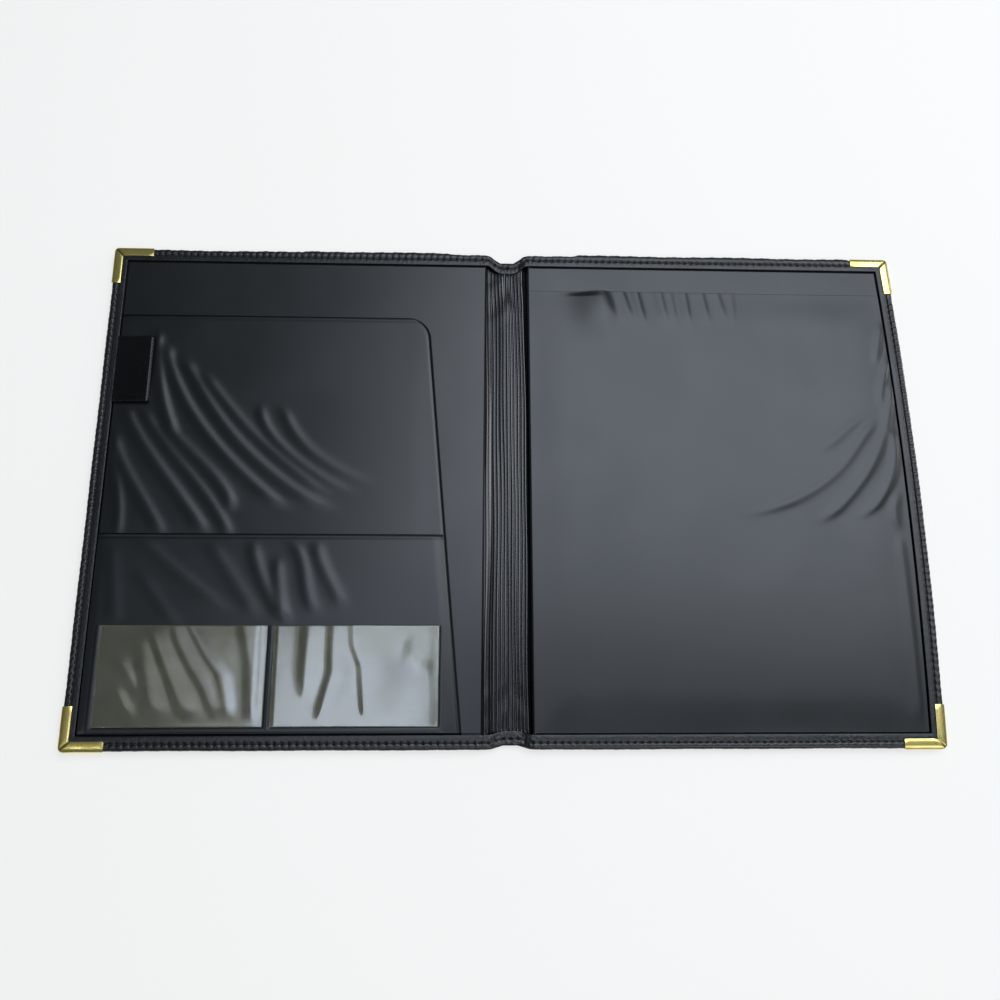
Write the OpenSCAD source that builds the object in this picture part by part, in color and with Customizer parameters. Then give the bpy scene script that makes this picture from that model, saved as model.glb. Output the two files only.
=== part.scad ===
// Padfolio, lying open: two padded covers joined by a folding spine.
// Millimetres, +Z up, +X across both covers, +Y towards the top edge.
// The origin is on the table, midway between the covers. The back cover is at +X, the front cover at -X.

/* [Covers] */
// Width of each cover, from its spine edge to its outer edge
cover_w = 241; // [225:1:280]
// Height of each cover
cover_h = 316; // [295:1:380]
// Gap between the spine edges of the open covers
spine_gap = 26; // [20:1:40]
// Radius of the covers' outer corners
corner_r = 2.5; // [1.5:0.5:4]
// Radius of the covers' corners at the spine, and the step back to the ends of the spine
spine_corner_r = 5; // [3:0.5:8]

/* [Layers] */
// Thickness of the leatherette skin
skin_t = 0.8; // [0.6:0.1:1.2]
// Thickness of the foam padding
foam_t = 2; // [1.5:0.25:3]
// Thickness of the stiffener boards
board_t = 2; // [1.5:0.25:3]
// Thickness of the vinyl lining
lining_t = 0.5; // [0.3:0.1:0.6]
// Width of the slope around the padded field of the outside
slope_w = 12; // [8:1:20]
// Width of the flat border between the padding and the spine edge
spine_border_w = 6; // [4:1:10]

/* [Hem and seam] */
// Width of the skin that is turned over onto the inside
hem_w = 8.5; // [7:0.5:11]
// Distance from the edge to the seam
seam_inset = 3.6; // [3:0.2:4.6]
// Distance from the ends of a seam to the brass corners
seam_end = 1.5; // [1:0.5:4]
// Distance from one stitch to the next
stitch_pitch = 4.2; // [3:0.2:6]
// Diameter of the sewing thread
thread_d = 0.8; // [0.5:0.1:1]
// Width of the thread where it dips into the skin between two stitches
dip_d = 0.3; // [0.2:0.1:0.4]

/* [Spine] */
// Thickness of the gusset between its ribs
gusset_t = 0.6; // [0.4:0.1:1]
// Distance from one rib of the gusset to the next
rib_pitch = 2.1; // [1.8:0.1:3]
// Radius of the ribs
rib_r = 0.7; // [0.5:0.1:0.8]
// Room between the folded spine and the covers' spine edges
fold_clear = 0.5; // [0.3:0.1:1]
// Width of the slit along each fold line
fold_slit = 0.3; // [0.2:0.1:0.5]

/* [Pockets] */
// Thickness of the vinyl pocket panels
panel_t = 0.5; // [0.4:0.1:0.8]
// Room behind each pocket panel
pocket_gap = 0.5; // [0.3:0.1:1]
// Width of the welds that hold the panels down
weld_w = 1.5; // [1:0.25:2.5]
// Groove between the hem and the panels
groove_w = 0.4; // [0.3:0.1:0.8]
// Distance from the top edge of the front cover to the mouth of the document pocket
doc_drop = 47; // [35:1:70]
// Distance from the spine edge to the document pocket at its mouth
doc_mouth_gap = 37; // [28:1:48]
// Distance from the spine edge to the document pocket at its foot
doc_foot_gap = 15; // [8:1:24]
// Radius of the document pocket's free corner
doc_corner_r = 15; // [8:1:20]
// Height of the lower pocket
lower_pocket_h = 117; // [95:1:140]
// Step from the document pocket's free side to the lower pocket's side
lower_inset = 2; // [1:0.5:5]
// Distance from the top edge of the back cover to the mouth of the pad pocket
pad_drop = 26; // [18:1:60]
// Distance from the spine edge to the pad pocket
pad_spine_gap = 3; // [2:0.5:8]

/* [Card windows] */
// Thickness of the clear film
film_t = 0.3; // [0.2:0.1:0.5]
// Height of each window
card_h = 58; // [54:1:70]
// Gap between the two windows
card_gap = 3.4; // [2:0.2:6]
// Distance from the lower pocket's outer side to the windows
card_side = 8; // [4:1:12]
// Distance from the lower pocket's slanted side to the windows
card_slant_gap = 6; // [3:1:10]
// Distance from the foot of the lower pocket to the windows
card_foot = 4; // [2.5:0.5:8]

/* [Pen loop] */
// Reach of the loop from the hem
loop_w = 22; // [18:1:30]
// Length of the loop along the pen
loop_l = 44; // [30:1:60]
// Thickness of the loop's strip
loop_t = 0.7; // [0.5:0.1:1]
// Clear height inside the loop
loop_room = 4.6; // [4.4:0.2:6]
// Length of the loop's level top
loop_level = 10; // [8:0.5:10]
// Width of the seam that closes the loop at the hem
loop_seam = 3; // [2:0.5:4]
// Distance from the mouth of the document pocket to the loop
loop_drop = 16; // [8:1:40]

/* [Brass corners] */
// Thickness of the brass sheet
brass_t = 0.6; // [0.4:0.1:0.8]
// Length of each leg of a corner
corner_leg = 25; // [18:1:30]
// Width of the flaps on the inside
flap_w = 5.5; // [4:0.5:6.5]
// Width of the outer plate at the ends of its legs
plate_tip = 3; // [2:0.5:5]
// Distance from the outer plate to the start of the padding
plate_margin = 1; // [0.5:0.5:3]
// Slit along the mitre between the two flaps
mitre_slit = 0.3; // [0.2:0.1:0.6]
// Clearance between the brass and the skin
brass_clear = 0.05; // [0.02:0.01:0.1]

/* [Hidden] */
$fn = 48;
// Reach of a cutting shape past the faces that it cuts
past = 1;
// Steps along a rounded outline
arc_steps = 12;

// Heights of the layers, from the table up
z_edge = foam_t;
z_board = z_edge + skin_t;
z_lining = z_board + board_t;
z_face = z_lining + lining_t;
z_hem = z_face + skin_t;
z_doc = z_face + pocket_gap + panel_t;
z_lower = z_doc + pocket_gap + panel_t;
z_gusset = z_board + gusset_t;
z_spine_hem = z_gusset + skin_t;

// Outline of a cover
x_in = spine_gap / 2;
x_out = x_in + cover_w;
half_h = cover_h / 2;
border_w = (corner_leg + plate_tip) / 2 + plate_margin;

// Spine, between its two fold lines
half_spine_h = half_h - spine_corner_r;
fold_z = z_edge + skin_t / 2;
fold_x = x_in - (max(z_spine_hem, z_gusset + rib_r) - fold_z) - fold_clear;
gusset_x = fold_x - skin_t / 2 - fold_clear;
rib_half_h = half_spine_h - hem_w - groove_w;
rib_count = floor((gusset_x - rib_r) / rib_pitch);

// Pockets of the front cover, described on the +X side and mirrored
x_pocket = x_out - hem_w - groove_w;
y_foot = hem_w + groove_w - half_h;
y_mouth = half_h - doc_drop;
y_lower = y_foot + lower_pocket_h;
y_pad = half_h - pad_drop;
slant = atan((doc_mouth_gap - doc_foot_gap) / (y_mouth - y_foot));
y_card = y_foot + card_foot;
x_card_out = x_pocket - card_side;
x_card_in = slant_x(y_card + card_h) + lower_inset + card_slant_gap;
card_w = (x_card_out - x_card_in - card_gap) / 2;
y_loop = y_mouth - loop_drop - loop_l;

skin_colour = "#17191b";
lining_colour = "#2b2f33";
gusset_colour = "#232629";
thread_colour = "#0d0e0f";
foam_colour = "#d9d6cc";
board_colour = "#8d877a";
brass_colour = "#d9cb7c";
film_colour = [0.78, 0.83, 0.86, 0.4];

// Distance of the document pocket's free side from the middle of the spine, at height y
function slant_x(y) = x_in + doc_foot_gap + (y - y_foot) * tan(slant);

// One side of a thread row: each stitch swells to the thread's diameter between the dips at its ends
function thread_side(count, start, side) = [
  for (i = [0 : 2 * count])
    [start + i * stitch_pitch / 2, side * (i % 2 == 0 ? dip_d : thread_d) / 2]
];

// A list from its last entry to its first
function reversed(list) = [for (i = [len(list) - 1 : -1 : 0]) list[i]];

// Points on an arc, from one angle to the other
function arc(centre, r, from, to) = [
  for (i = [0 : arc_steps])
    let (a = from + (to - from) * i / arc_steps)
    centre + r * [cos(a), sin(a)]
];

// What the front cover shares with the back cover
module on_front() {
  mirror([1, 0, 0]) children();
}

// The waste outside a rounded corner at the origin, whose sides run along +X and +Y
module corner_waste(r, z0, z1) {
  translate([0, 0, z0 - past]) linear_extrude(z1 - z0 + 2 * past) difference() {
    translate([-past, -past]) square(r + past);
    translate([r, r]) circle(r);
  }
}

// A plate from x0 to x1, with its own corner radius at either side; 0 is a square corner
module rounded_plate(x0, x1, half_y, z0, z1, r0, r1) {
  difference() {
    translate([x0, -half_y, z0]) cube([x1 - x0, 2 * half_y, z1 - z0]);
    for (side = [0, 1]) mirror([0, side, 0]) {
      if (r0 > 0) translate([x0, -half_y, 0]) corner_waste(r0, z0, z1);
      if (r1 > 0) translate([x1, -half_y, 0]) mirror([1, 0, 0]) corner_waste(r1, z0, z1);
    }
  }
}

// An outline in X and Z, carried along Y
module along_y(half_length) {
  rotate([90, 0, 0]) linear_extrude(2 * half_length, center = true) children();
}

// The padded field: a block as thick as the foam, sloping in on all four sides to its lower face
module pad_block(z0) {
  x0 = x_in + spine_border_w;
  x1 = x_out - border_w;
  y1 = half_h - border_w;
  z1 = z0 + foam_t;
  intersection() {
    along_y(half_h)
      polygon([[x0 + slope_w, z0], [x1 - slope_w, z0], [x1, z1], [x0, z1]]);
    rotate([90, 0, 90]) linear_extrude(x_out)
      polygon([[slope_w - y1, z0], [y1 - slope_w, z0], [y1, z1], [-y1, z1]]);
  }
}

// A flat layer that fills the outline inside the skin
module layer(z0, z1) {
  rounded_plate(x_in + skin_t, x_out - skin_t, half_h - skin_t, z0, z1,
    spine_corner_r - skin_t, corner_r - skin_t);
}

// Leatherette skin: padded outside, edges, hem on the inside and the tongue that reaches the fold
module cover_skin() {
  color(skin_colour) difference() {
    union() {
      rounded_plate(x_in, x_out, half_h, z_edge, z_hem, spine_corner_r, corner_r);
      pad_block(0);
      translate([fold_x, -half_spine_h, z_edge]) cube([x_in + skin_t - fold_x, 2 * half_spine_h, skin_t]);
    }
    layer(z_board, z_face);
    pad_block(skin_t);
    translate([x_in - past, -half_spine_h, z_board])
      cube([skin_t + 2 * past, 2 * half_spine_h, z_face - z_board]);
    translate([x_in - past, hem_w - half_h, z_face - past])
      cube([cover_w - hem_w + past, cover_h - 2 * hem_w, skin_t + 2 * past]);
    translate([fold_x, 0, fold_z]) along_y(half_h) circle(skin_t / 2 + fold_slit);
  }
}

// Foam that pads the outside of a cover
module cover_foam() {
  color(foam_colour) pad_block(skin_t);
}

// Stiffener board
module cover_board() {
  color(board_colour) layer(z_board, z_lining);
}

// Vinyl lining, turned down over the spine edge of the board
module cover_lining() {
  color(lining_colour) {
    layer(z_lining, z_face);
    translate([x_in + skin_t - lining_t, -half_spine_h, z_board])
      cube([lining_t, 2 * half_spine_h, z_face - z_board]);
  }
}

// One row of stitches along +X, half sunk in the plane z = 0 and centred on the origin
module thread_row(length) {
  count = floor(length / stitch_pitch);
  start = -count * stitch_pitch / 2;
  linear_extrude(thread_d / 2)
    polygon(concat(thread_side(count, start, -1), reversed(thread_side(count, start, 1))));
}

// The upper thread on a hem and the lower thread under it
module seam(length, z_top, z_low) {
  color(thread_colour) {
    translate([0, 0, z_top]) thread_row(length);
    translate([0, 0, z_low]) mirror([0, 0, 1]) thread_row(length);
  }
}

// Seams along the three hemmed edges of a cover
module cover_stitching() {
  x0 = x_in + spine_corner_r;
  x1 = x_out - corner_leg - seam_end;
  for (side = [-1, 1])
    translate([(x0 + x1) / 2, side * (half_h - seam_inset), 0]) seam(x1 - x0, z_hem, z_edge);
  translate([x_out - seam_inset, 0, 0]) rotate([0, 0, 90])
    seam(cover_h - 2 * (corner_leg + seam_end), z_hem, z_edge);
}

// Brass corner: a plate on the outside, two walls, and two mitred flaps on the inside
module corner_cap() {
  grown = brass_clear + brass_t;
  x1 = x_out + grown;
  y1 = half_h + grown;
  x_leg = x_out - corner_leg;
  y_leg = half_h - corner_leg;
  color(brass_colour) difference() {
    intersection() {
      rounded_plate(x_in, x1, y1, z_edge - grown, z_hem + grown, 0, corner_r + grown);
      translate([0, 0, z_edge - grown]) linear_extrude(z_hem - z_edge + 2 * grown)
        polygon([
          [x_leg, y1], [x_leg, half_h - plate_tip], [x_out - plate_tip, y_leg], [x1, y_leg], [x1, y1]
        ]);
    }
    rounded_plate(x_in - past, x_out + brass_clear, half_h + brass_clear, z_edge - brass_clear,
      z_hem + brass_clear, 0, corner_r + brass_clear);
    translate([x_leg - past, y_leg - past, z_edge])
      cube([corner_leg - flap_w + past, corner_leg - flap_w + past, z_hem]);
    translate([x_out - flap_w, half_h - flap_w, z_hem + brass_clear]) rotate([0, 0, 45])
      translate([-past, -mitre_slit / 2, 0]) cube([2 * flap_w + past, mitre_slit, brass_t + past]);
  }
}

// A pocket panel: a sheet over the room behind it, held down by the welds that the room leaves
module pocket(z0) {
  color(lining_colour) difference() {
    translate([0, 0, z0]) linear_extrude(pocket_gap + panel_t) children(0);
    translate([0, 0, z0 - past]) linear_extrude(pocket_gap + past) children(1);
  }
}

// Pocket that takes the backing of a writing pad, open at its top
module pad_pocket() {
  x0 = x_in + pad_spine_gap;
  pocket(z_face) {
    translate([x0, y_foot]) square([x_pocket - x0, y_pad - y_foot]);
    translate([x0 + weld_w, y_foot + weld_w]) square([x_pocket - x0 - 2 * weld_w, y_pad - y_foot]);
  }
}

// Document pocket, open at its top and along its slanted side
module document_pocket() {
  r = doc_corner_r;
  centre = [slant_x(y_mouth - r) + r / cos(slant), y_mouth - r];
  on_front() pocket(z_face) {
    polygon(concat(
      [[x_pocket, y_foot], [x_pocket, y_mouth]],
      arc(centre, r, 90, 180 - slant),
      [[slant_x(y_foot), y_foot]]
    ));
    translate([0, y_foot + weld_w]) square([x_pocket - weld_w, y_mouth - y_foot]);
  }
}

// Lower pocket on the face of the document pocket, open at its top
module lower_pocket() {
  foot_in = slant_x(y_foot) + lower_inset;
  top_in = slant_x(y_lower) + lower_inset;
  weld_y = y_foot + weld_w;
  on_front() pocket(z_doc) {
    polygon([[foot_in, y_foot], [x_pocket, y_foot], [x_pocket, y_lower], [top_in, y_lower]]);
    polygon([
      [slant_x(weld_y) + lower_inset + weld_w, weld_y], [x_pocket - weld_w, weld_y],
      [x_pocket - weld_w, y_lower + past], [slant_x(y_lower + past) + lower_inset + weld_w, y_lower + past]
    ]);
  }
}

// Clear window for a card, open at its top; index 0 is the outer one
module card_window(index) {
  x0 = x_card_out - card_w - index * (card_w + card_gap);
  on_front() color(film_colour) difference() {
    translate([x0, y_card, z_lower]) cube([card_w, card_h, pocket_gap + film_t]);
    translate([x0 + weld_w, y_card + weld_w, z_lower - past])
      cube([card_w - 2 * weld_w, card_h, pocket_gap + past]);
  }
}

// Pen loop: a strip folded into a loop, both ends caught at the hem, lying on the document pocket
module pen_loop() {
  r = loop_room / 2 + loop_t;
  bend = [loop_w - r, r];
  level = bend[0] - loop_level;
  outside = concat(
    [[0, 0]], arc(bend, r, -90, 90), [[level, 2 * r], [loop_seam, 2 * loop_t], [0, 2 * loop_t]]
  );
  inside = concat(
    [[loop_seam, loop_t]], arc(bend, r - loop_t, -90, 90), [[level, 2 * r - loop_t]]
  );
  count = len(outside);
  on_front() color(skin_colour) translate([x_pocket, y_loop + loop_l / 2, z_doc]) mirror([1, 0, 0])
    along_y(loop_l / 2) polygon(
      concat(outside, inside),
      [[for (i = [0 : count - 1]) i], [for (i = [0 : len(inside) - 1]) count + i]]
    );
}

// Spine skin between the fold lines, with a round edge on each and a hem at either end
module spine_skin() {
  color(skin_colour) {
    translate([-fold_x, -half_spine_h, z_edge]) cube([2 * fold_x, 2 * half_spine_h, skin_t]);
    for (side = [-1, 1]) {
      translate([side * fold_x, 0, fold_z]) along_y(half_spine_h) circle(skin_t / 2);
      mirror([0, side < 0 ? 1 : 0, 0]) {
        translate([-gusset_x, half_spine_h - skin_t, z_edge])
          cube([2 * gusset_x, skin_t, z_spine_hem - z_edge]);
        translate([-gusset_x, half_spine_h - hem_w, z_gusset]) cube([2 * gusset_x, hem_w, skin_t]);
      }
    }
  }
}

// Ribbed vinyl gusset on the inside of the spine
module spine_gusset() {
  color(gusset_colour) {
    translate([-gusset_x, skin_t - half_spine_h, z_board])
      cube([2 * gusset_x, 2 * (half_spine_h - skin_t), gusset_t]);
    for (i = [-rib_count : rib_count])
      translate([i * rib_pitch, 0, z_gusset]) along_y(rib_half_h) intersection() {
        circle(rib_r);
        translate([-rib_r, 0]) square([2 * rib_r, rib_r]);
      }
  }
}

// Seams across the two ends of the spine
module spine_stitching() {
  for (side = [-1, 1])
    translate([0, side * (half_spine_h - seam_inset), 0]) seam(2 * gusset_x, z_spine_hem, z_edge);
}

cover_skin();  // back_skin
cover_foam();  // back_foam
cover_board();  // back_board
cover_lining();  // back_lining
pad_pocket();
cover_stitching();  // back_stitching
corner_cap();  // back_corner_top
mirror([0, 1, 0]) corner_cap();  // back_corner_bottom
spine_skin();
spine_gusset();
spine_stitching();
on_front() cover_skin();  // front_skin
on_front() cover_foam();  // front_foam
on_front() cover_board();  // front_board
on_front() cover_lining();  // front_lining
document_pocket();
lower_pocket();
card_window(0);  // card_window_outer
card_window(1);  // card_window_inner
pen_loop();
on_front() cover_stitching();  // front_stitching
on_front() corner_cap();  // front_corner_top
on_front() mirror([0, 1, 0]) corner_cap();  // front_corner_bottom
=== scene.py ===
"""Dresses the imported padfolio: a leatherette folder lying open, with vinyl pockets and gilt corners."""

import bmesh
import bpy
import numpy as np
from mathutils import Matrix


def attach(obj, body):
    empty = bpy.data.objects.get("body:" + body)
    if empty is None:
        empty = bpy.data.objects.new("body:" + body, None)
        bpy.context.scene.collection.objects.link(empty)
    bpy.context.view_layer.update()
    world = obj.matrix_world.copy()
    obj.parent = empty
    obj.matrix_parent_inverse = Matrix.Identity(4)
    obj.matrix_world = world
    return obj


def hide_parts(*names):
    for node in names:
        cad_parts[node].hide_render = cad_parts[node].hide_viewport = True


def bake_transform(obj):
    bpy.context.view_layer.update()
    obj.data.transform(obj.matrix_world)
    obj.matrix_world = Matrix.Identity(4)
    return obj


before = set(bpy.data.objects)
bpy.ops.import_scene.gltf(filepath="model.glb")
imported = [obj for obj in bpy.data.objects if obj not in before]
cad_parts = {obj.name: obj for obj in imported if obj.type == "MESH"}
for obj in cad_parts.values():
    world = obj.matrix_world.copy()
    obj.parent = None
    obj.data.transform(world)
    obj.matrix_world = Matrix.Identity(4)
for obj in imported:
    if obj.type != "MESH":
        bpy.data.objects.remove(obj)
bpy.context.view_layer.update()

# Sizes in millimetres, as in the part's source. Every shape is worked out for the cover at +X, and the
# front cover, at -X, takes the mirror image.
X_IN, X_OUT = 13.0, 254.0
HALF_H, TOP_SPINE, FOOT_SPINE = 158.0, 153.0, 155.6
CORNER_R = 2.5
Z_EDGE, Z_FACE, Z_HEM = 2.0, 5.3, 6.1
Z_SPINE_HEM, Z_GUSSET = 4.2, 3.4
LINING_T, PAD_T, PANEL_T, FILM_T, LOOP_T = 0.4, 0.3, 0.5, 0.3, 0.6
HEM_W, SEAM, UNDER_W, CALM_W = 8.5, 4.1, 5.8, 12.0
STITCH = 4.2
TOP_STITCHES, SIDE_STITCHES, PER_STITCH = 59, 75, 6
ARC_STEPS, FOLD_PLACES, FIELD_STEP = 5, 42, 3
BORDER_W, SLOPE_W = 15.0, 12.0
FOAM_IN, FOAM_OUT, FOAM_HALF_H, Z_FOAM = 19.5, 238.5, 142.5, 2.55
X_FOLD, FOLD_REACH = 10.7, 3.4
RIB_PITCH, GUSSET_INSET = 2.1, 7.4
BRASS_LEG, FLAP_W = 25.0, 5.5
Z_DOC, Z_LOWER, Z_FILM = 6.3, 7.3, 8.1
Y_FOOT, Y_MOUTH, Y_LOWER, Y_PAD = -149.1, 111.0, -32.1, 132.0
X_TUCK, Y_TUCK = 246.4, -150.3
SLANT_FOOT, SLANT_RISE, DOC_R = 28.0, 0.0846, 15.0
CARD_FOOT, CARD_TOP = -145.1, -87.1
CARD_OUTER, CARD_INNER = (140.9, 237.1), (41.2, 137.5)
WINDOW_W, WINDOW_H = 96.0, 58.0
LOOP_FOOT, LOOP_TOP, LOOP_IN, LOOP_OUT = 51.0, 95.0, 223.1, 245.1
BACK_BOW, BOW_FROM = 4.2, 140.0

# Names of the two covers and the two ends, and where each cover's top edge flares outwards
COVER = {1: "back", -1: "front"}
END = {1: "top", -1: "bottom"}
FLARE = {1: (44, 232), -1: (36, 134)}


def ease(low, high, value):
    """0 below low, 1 above high, and a smooth S between them."""
    t = np.clip((value - low) / (high - low), 0, 1)
    return t * t * (3 - 2 * t)


def bell(offset, width):
    """A bell curve, 1 at no offset and about a third of that at the given width."""
    return np.exp(-((offset / width) ** 2))


def quads(rows, cols, flip=False):
    """The four-sided faces between the points of a grid, turned over where flip is set."""
    i = np.arange(rows * cols).reshape(rows, cols)
    f = np.stack([i[:-1, :-1], i[:-1, 1:], i[1:, 1:], i[1:, :-1]], -1).reshape(-1, 4)
    return f[:, ::-1] if flip else f


def bowed(points, side):
    """The back cover's outer edge swells a little at mid-height, less and less towards the spine."""
    if side > 0:
        reach = ease(BOW_FROM, X_OUT, points[:, 0])
        points[:, 0] += BACK_BOW * reach * (1 - (points[:, 1] / HALF_H) ** 2)
    return points


def piece(name, side, grids, look, merge=0.0, thick=0.0, sharp=None, rim=None):
    """One mesh from grids of points in millimetres, each with a flag that turns its faces over.

    A rim is one number for each point, 1 where the material paints the sheet dark and dull, as painted shade
    of the groove, crevice or mitre beside it.
    """
    points, faces, start = [], [], 0
    for grid, flip in grids:
        rows, cols = grid.shape[:2]
        points.append(grid.reshape(-1, 3))
        faces.append(quads(rows, cols, flip != (side < 0)) + start)
        start += rows * cols
    points = bowed(np.concatenate(points).astype(float), side) * (0.001 * side, 0.001, 0.001)
    mesh = bpy.data.meshes.new(name)
    mesh.from_pydata(points, [], np.concatenate(faces).tolist())
    if rim is not None:
        shade = mesh.attributes.new("rim", "FLOAT", "POINT")
        shade.data.foreach_set("value", rim.ravel().astype(np.float32))
    if merge:
        work = bmesh.new()
        work.from_mesh(mesh)
        bmesh.ops.remove_doubles(work, verts=work.verts, dist=merge * 0.001)
        work.to_mesh(mesh)
        work.free()
    mesh.polygons.foreach_set("use_smooth", np.ones(len(mesh.polygons), bool))
    if sharp:
        mesh.set_sharp_from_angle(angle=np.radians(sharp))
    mesh.materials.append(look)
    made = bpy.data.objects.new(name, mesh)
    bpy.context.scene.collection.objects.link(made)
    if thick:
        wall = made.modifiers.new("thickness", "SOLIDIFY")
        wall.thickness = thick * 0.001
        wall.offset = -1.0
    return made


def stack(x, y, z):
    """Three arrays that broadcast to one grid of points."""
    return np.stack(np.broadcast_arrays(x, y, z), -1).astype(float)


# Materials


def linear(hex_colour):
    """The linear RGBA of an sRGB hex colour."""
    c = np.array([int(hex_colour[i:i + 2], 16) for i in (1, 3, 5)]) / 255
    lin = np.where(c <= 0.04045, c / 12.92, ((c + 0.055) / 1.055) ** 2.4)
    return (*lin.tolist(), 1.0)


def node(tree, kind, inputs=None, **settings):
    """Adds a node. Each input takes a number, a colour, or a pair of a node and its output's name."""
    made = tree.nodes.new("ShaderNode" + kind)
    for name, value in settings.items():
        setattr(made, name, value)
    for socket, value in (inputs or {}).items():
        if isinstance(value, tuple) and isinstance(value[0], bpy.types.Node):
            tree.links.new(value[0].outputs[value[1]], made.inputs[socket])
        else:
            made.inputs[socket].default_value = value
    return made


def material(name, **sockets):
    """A material with one Principled shader, whose constant values go on its own sockets."""
    made = bpy.data.materials.new(name)
    made.use_nodes = True
    tree = made.node_tree
    tree.nodes.clear()
    shader = node(tree, "BsdfPrincipled", {k.replace("_", " "): v for k, v in sockets.items()})
    node(tree, "OutputMaterial", {"Surface": (shader, "BSDF")})
    place = node(tree, "TexCoord")
    return made, tree, shader, place


def shades(tree, source, low, high, dark, light):
    """A ramp from the dark to the light colour between two levels of a pattern."""
    ramp = node(tree, "ValToRGB", {"Fac": source})
    ends = ramp.color_ramp.elements
    ends[0].position, ends[1].position = low, high
    ends[0].color, ends[1].color = linear(dark), linear(light)
    return ramp


def per_mm(size):
    """The texture scale at which one pattern cell is this many millimetres."""
    return 1000.0 / size


def pebbled_leatherette(name, dark, light, smooth, rough, relief, ior):
    """PVC-coated cloth, embossed with a pebble grain.

    The bump makes rounded pebbles catch small highlights, and the colour also paints their tops lighter and
    the creases between them darker, as painted highlight and shade. Pebbles are drawn 1.5 mm across, a
    little over life size, so that they show. Where the rim attribute is set, on the hem's inner edge, it is
    painted darker and given less sheen, as painted shade of the groove beside it.
    """
    made, tree, shader, place = material(name, IOR=ior)
    at = (place, "Object")
    pebble = node(tree, "TexVoronoi", {"Vector": at, "Scale": per_mm(1.5), "Randomness": 0.9})
    dome = node(tree, "MapRange", {
        "Value": (pebble, "Distance"), "From Max": 0.75, "To Min": 1.0, "To Max": 0.0,
    })
    crease = node(tree, "TexNoise", {"Vector": at, "Scale": per_mm(5.0), "Detail": 4.0, "Roughness": 0.6})
    wear = node(tree, "TexNoise", {"Vector": at, "Scale": per_mm(30.0), "Detail": 3.0})
    height = node(tree, "Math", {0: (crease, "Fac"), 1: (dome, "Result")}, operation="ADD")
    # Painted highlight and shade: the colour is lighter on the pebbles' tops and darker in the creases.
    ramp = shades(tree, (dome, "Result"), 0.05, 0.8, dark, light)
    gloss = node(tree, "MapRange", {
        "Value": (wear, "Fac"), "From Min": 0.3, "From Max": 0.7, "To Min": smooth, "To Max": rough,
    })
    grain = node(tree, "Bump", {"Height": (height, "Value"), "Strength": relief, "Distance": 0.00026})
    # Painted shade: the rim darkens and dulls the hem's inner edge, where it drops into the groove by the
    # lining.
    rim = node(tree, "Attribute", attribute_name="rim")
    hem_edge_shade = node(tree, "MapRange", {"Value": (rim, "Fac"), "To Min": 1.0, "To Max": 0.35})
    sheen = node(tree, "MapRange", {"Value": (rim, "Fac"), "To Min": 0.5, "To Max": 0.05})
    colour = node(tree, "HueSaturation", {"Color": (ramp, "Color"), "Value": (hem_edge_shade, "Result")})
    tree.links.new(colour.outputs["Color"], shader.inputs["Base Color"])
    tree.links.new(sheen.outputs["Result"], shader.inputs["Specular IOR Level"])
    tree.links.new(gloss.outputs["Result"], shader.inputs["Roughness"])
    tree.links.new(grain.outputs["Normal"], shader.inputs["Normal"])
    return made


def calendered_vinyl(name, dark, light, smooth, rough, ior):
    """PVC sheet rolled between satin cylinders.

    It has a soft, wide sheen that turns folds into bright bands, and a faint sand grain of 0.7 mm,
    drawn coarser than life so that it shows. Where the rim attribute is set it is painted darker and
    given less sheen, as painted shade along pocket mouths and in the gusset's crevice.
    """
    made, tree, shader, place = material(name, IOR=ior)
    at = (place, "Object")
    sand = node(tree, "TexNoise", {"Vector": at, "Scale": per_mm(0.7), "Detail": 2.0})
    cloud = node(tree, "TexNoise", {"Vector": at, "Scale": per_mm(45.0), "Detail": 4.0, "Roughness": 0.55})
    ramp = shades(tree, (cloud, "Fac"), 0.3, 0.7, dark, light)
    gloss = node(tree, "MapRange", {
        "Value": (cloud, "Fac"), "From Min": 0.3, "From Max": 0.7, "To Min": smooth, "To Max": rough,
    })
    grain = node(tree, "Bump", {"Height": (sand, "Fac"), "Strength": 0.25, "Distance": 0.00005})
    # Painted shade: the rim darkens the colour and dulls the sheen.
    rim = node(tree, "Attribute", attribute_name="rim")
    painted_shade = node(tree, "MapRange", {"Value": (rim, "Fac"), "To Min": 1.0, "To Max": 0.3})
    sheen = node(tree, "MapRange", {"Value": (rim, "Fac"), "To Min": 0.5, "To Max": 0.06})
    colour = node(tree, "HueSaturation", {"Color": (ramp, "Color"), "Value": (painted_shade, "Result")})
    tree.links.new(colour.outputs["Color"], shader.inputs["Base Color"])
    tree.links.new(sheen.outputs["Result"], shader.inputs["Specular IOR Level"])
    tree.links.new(gloss.outputs["Result"], shader.inputs["Roughness"])
    tree.links.new(grain.outputs["Normal"], shader.inputs["Normal"])
    return made


def clear_vinyl_film():
    """Plasticised PVC film, press-polished, with a faint warm haze.

    Its faces mirror the lamp in soft-edged bands, and the haze greys the black panel behind it. The
    coat stands for the faces of the second film, at the back of the pocket.
    """
    made, tree, shader, place = material(
        "clear_pressed_pvc_film", IOR=1.53, Transmission_Weight=0.958,
        Coat_Weight=1.0, Coat_IOR=1.85, Coat_Roughness=0.13,
    )
    at = (place, "Object")
    haze = node(tree, "TexNoise", {"Vector": at, "Scale": per_mm(18.0), "Detail": 3.0})
    ramp = shades(tree, (haze, "Fac"), 0.3, 0.7, "#d2cfa6", "#e9e7cd")
    gloss = node(tree, "MapRange", {
        "Value": (haze, "Fac"), "From Min": 0.3, "From Max": 0.7, "To Min": 0.1, "To Max": 0.17,
    })
    tree.links.new(ramp.outputs["Color"], shader.inputs["Base Color"])
    tree.links.new(gloss.outputs["Result"], shader.inputs["Roughness"])
    return made


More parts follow.
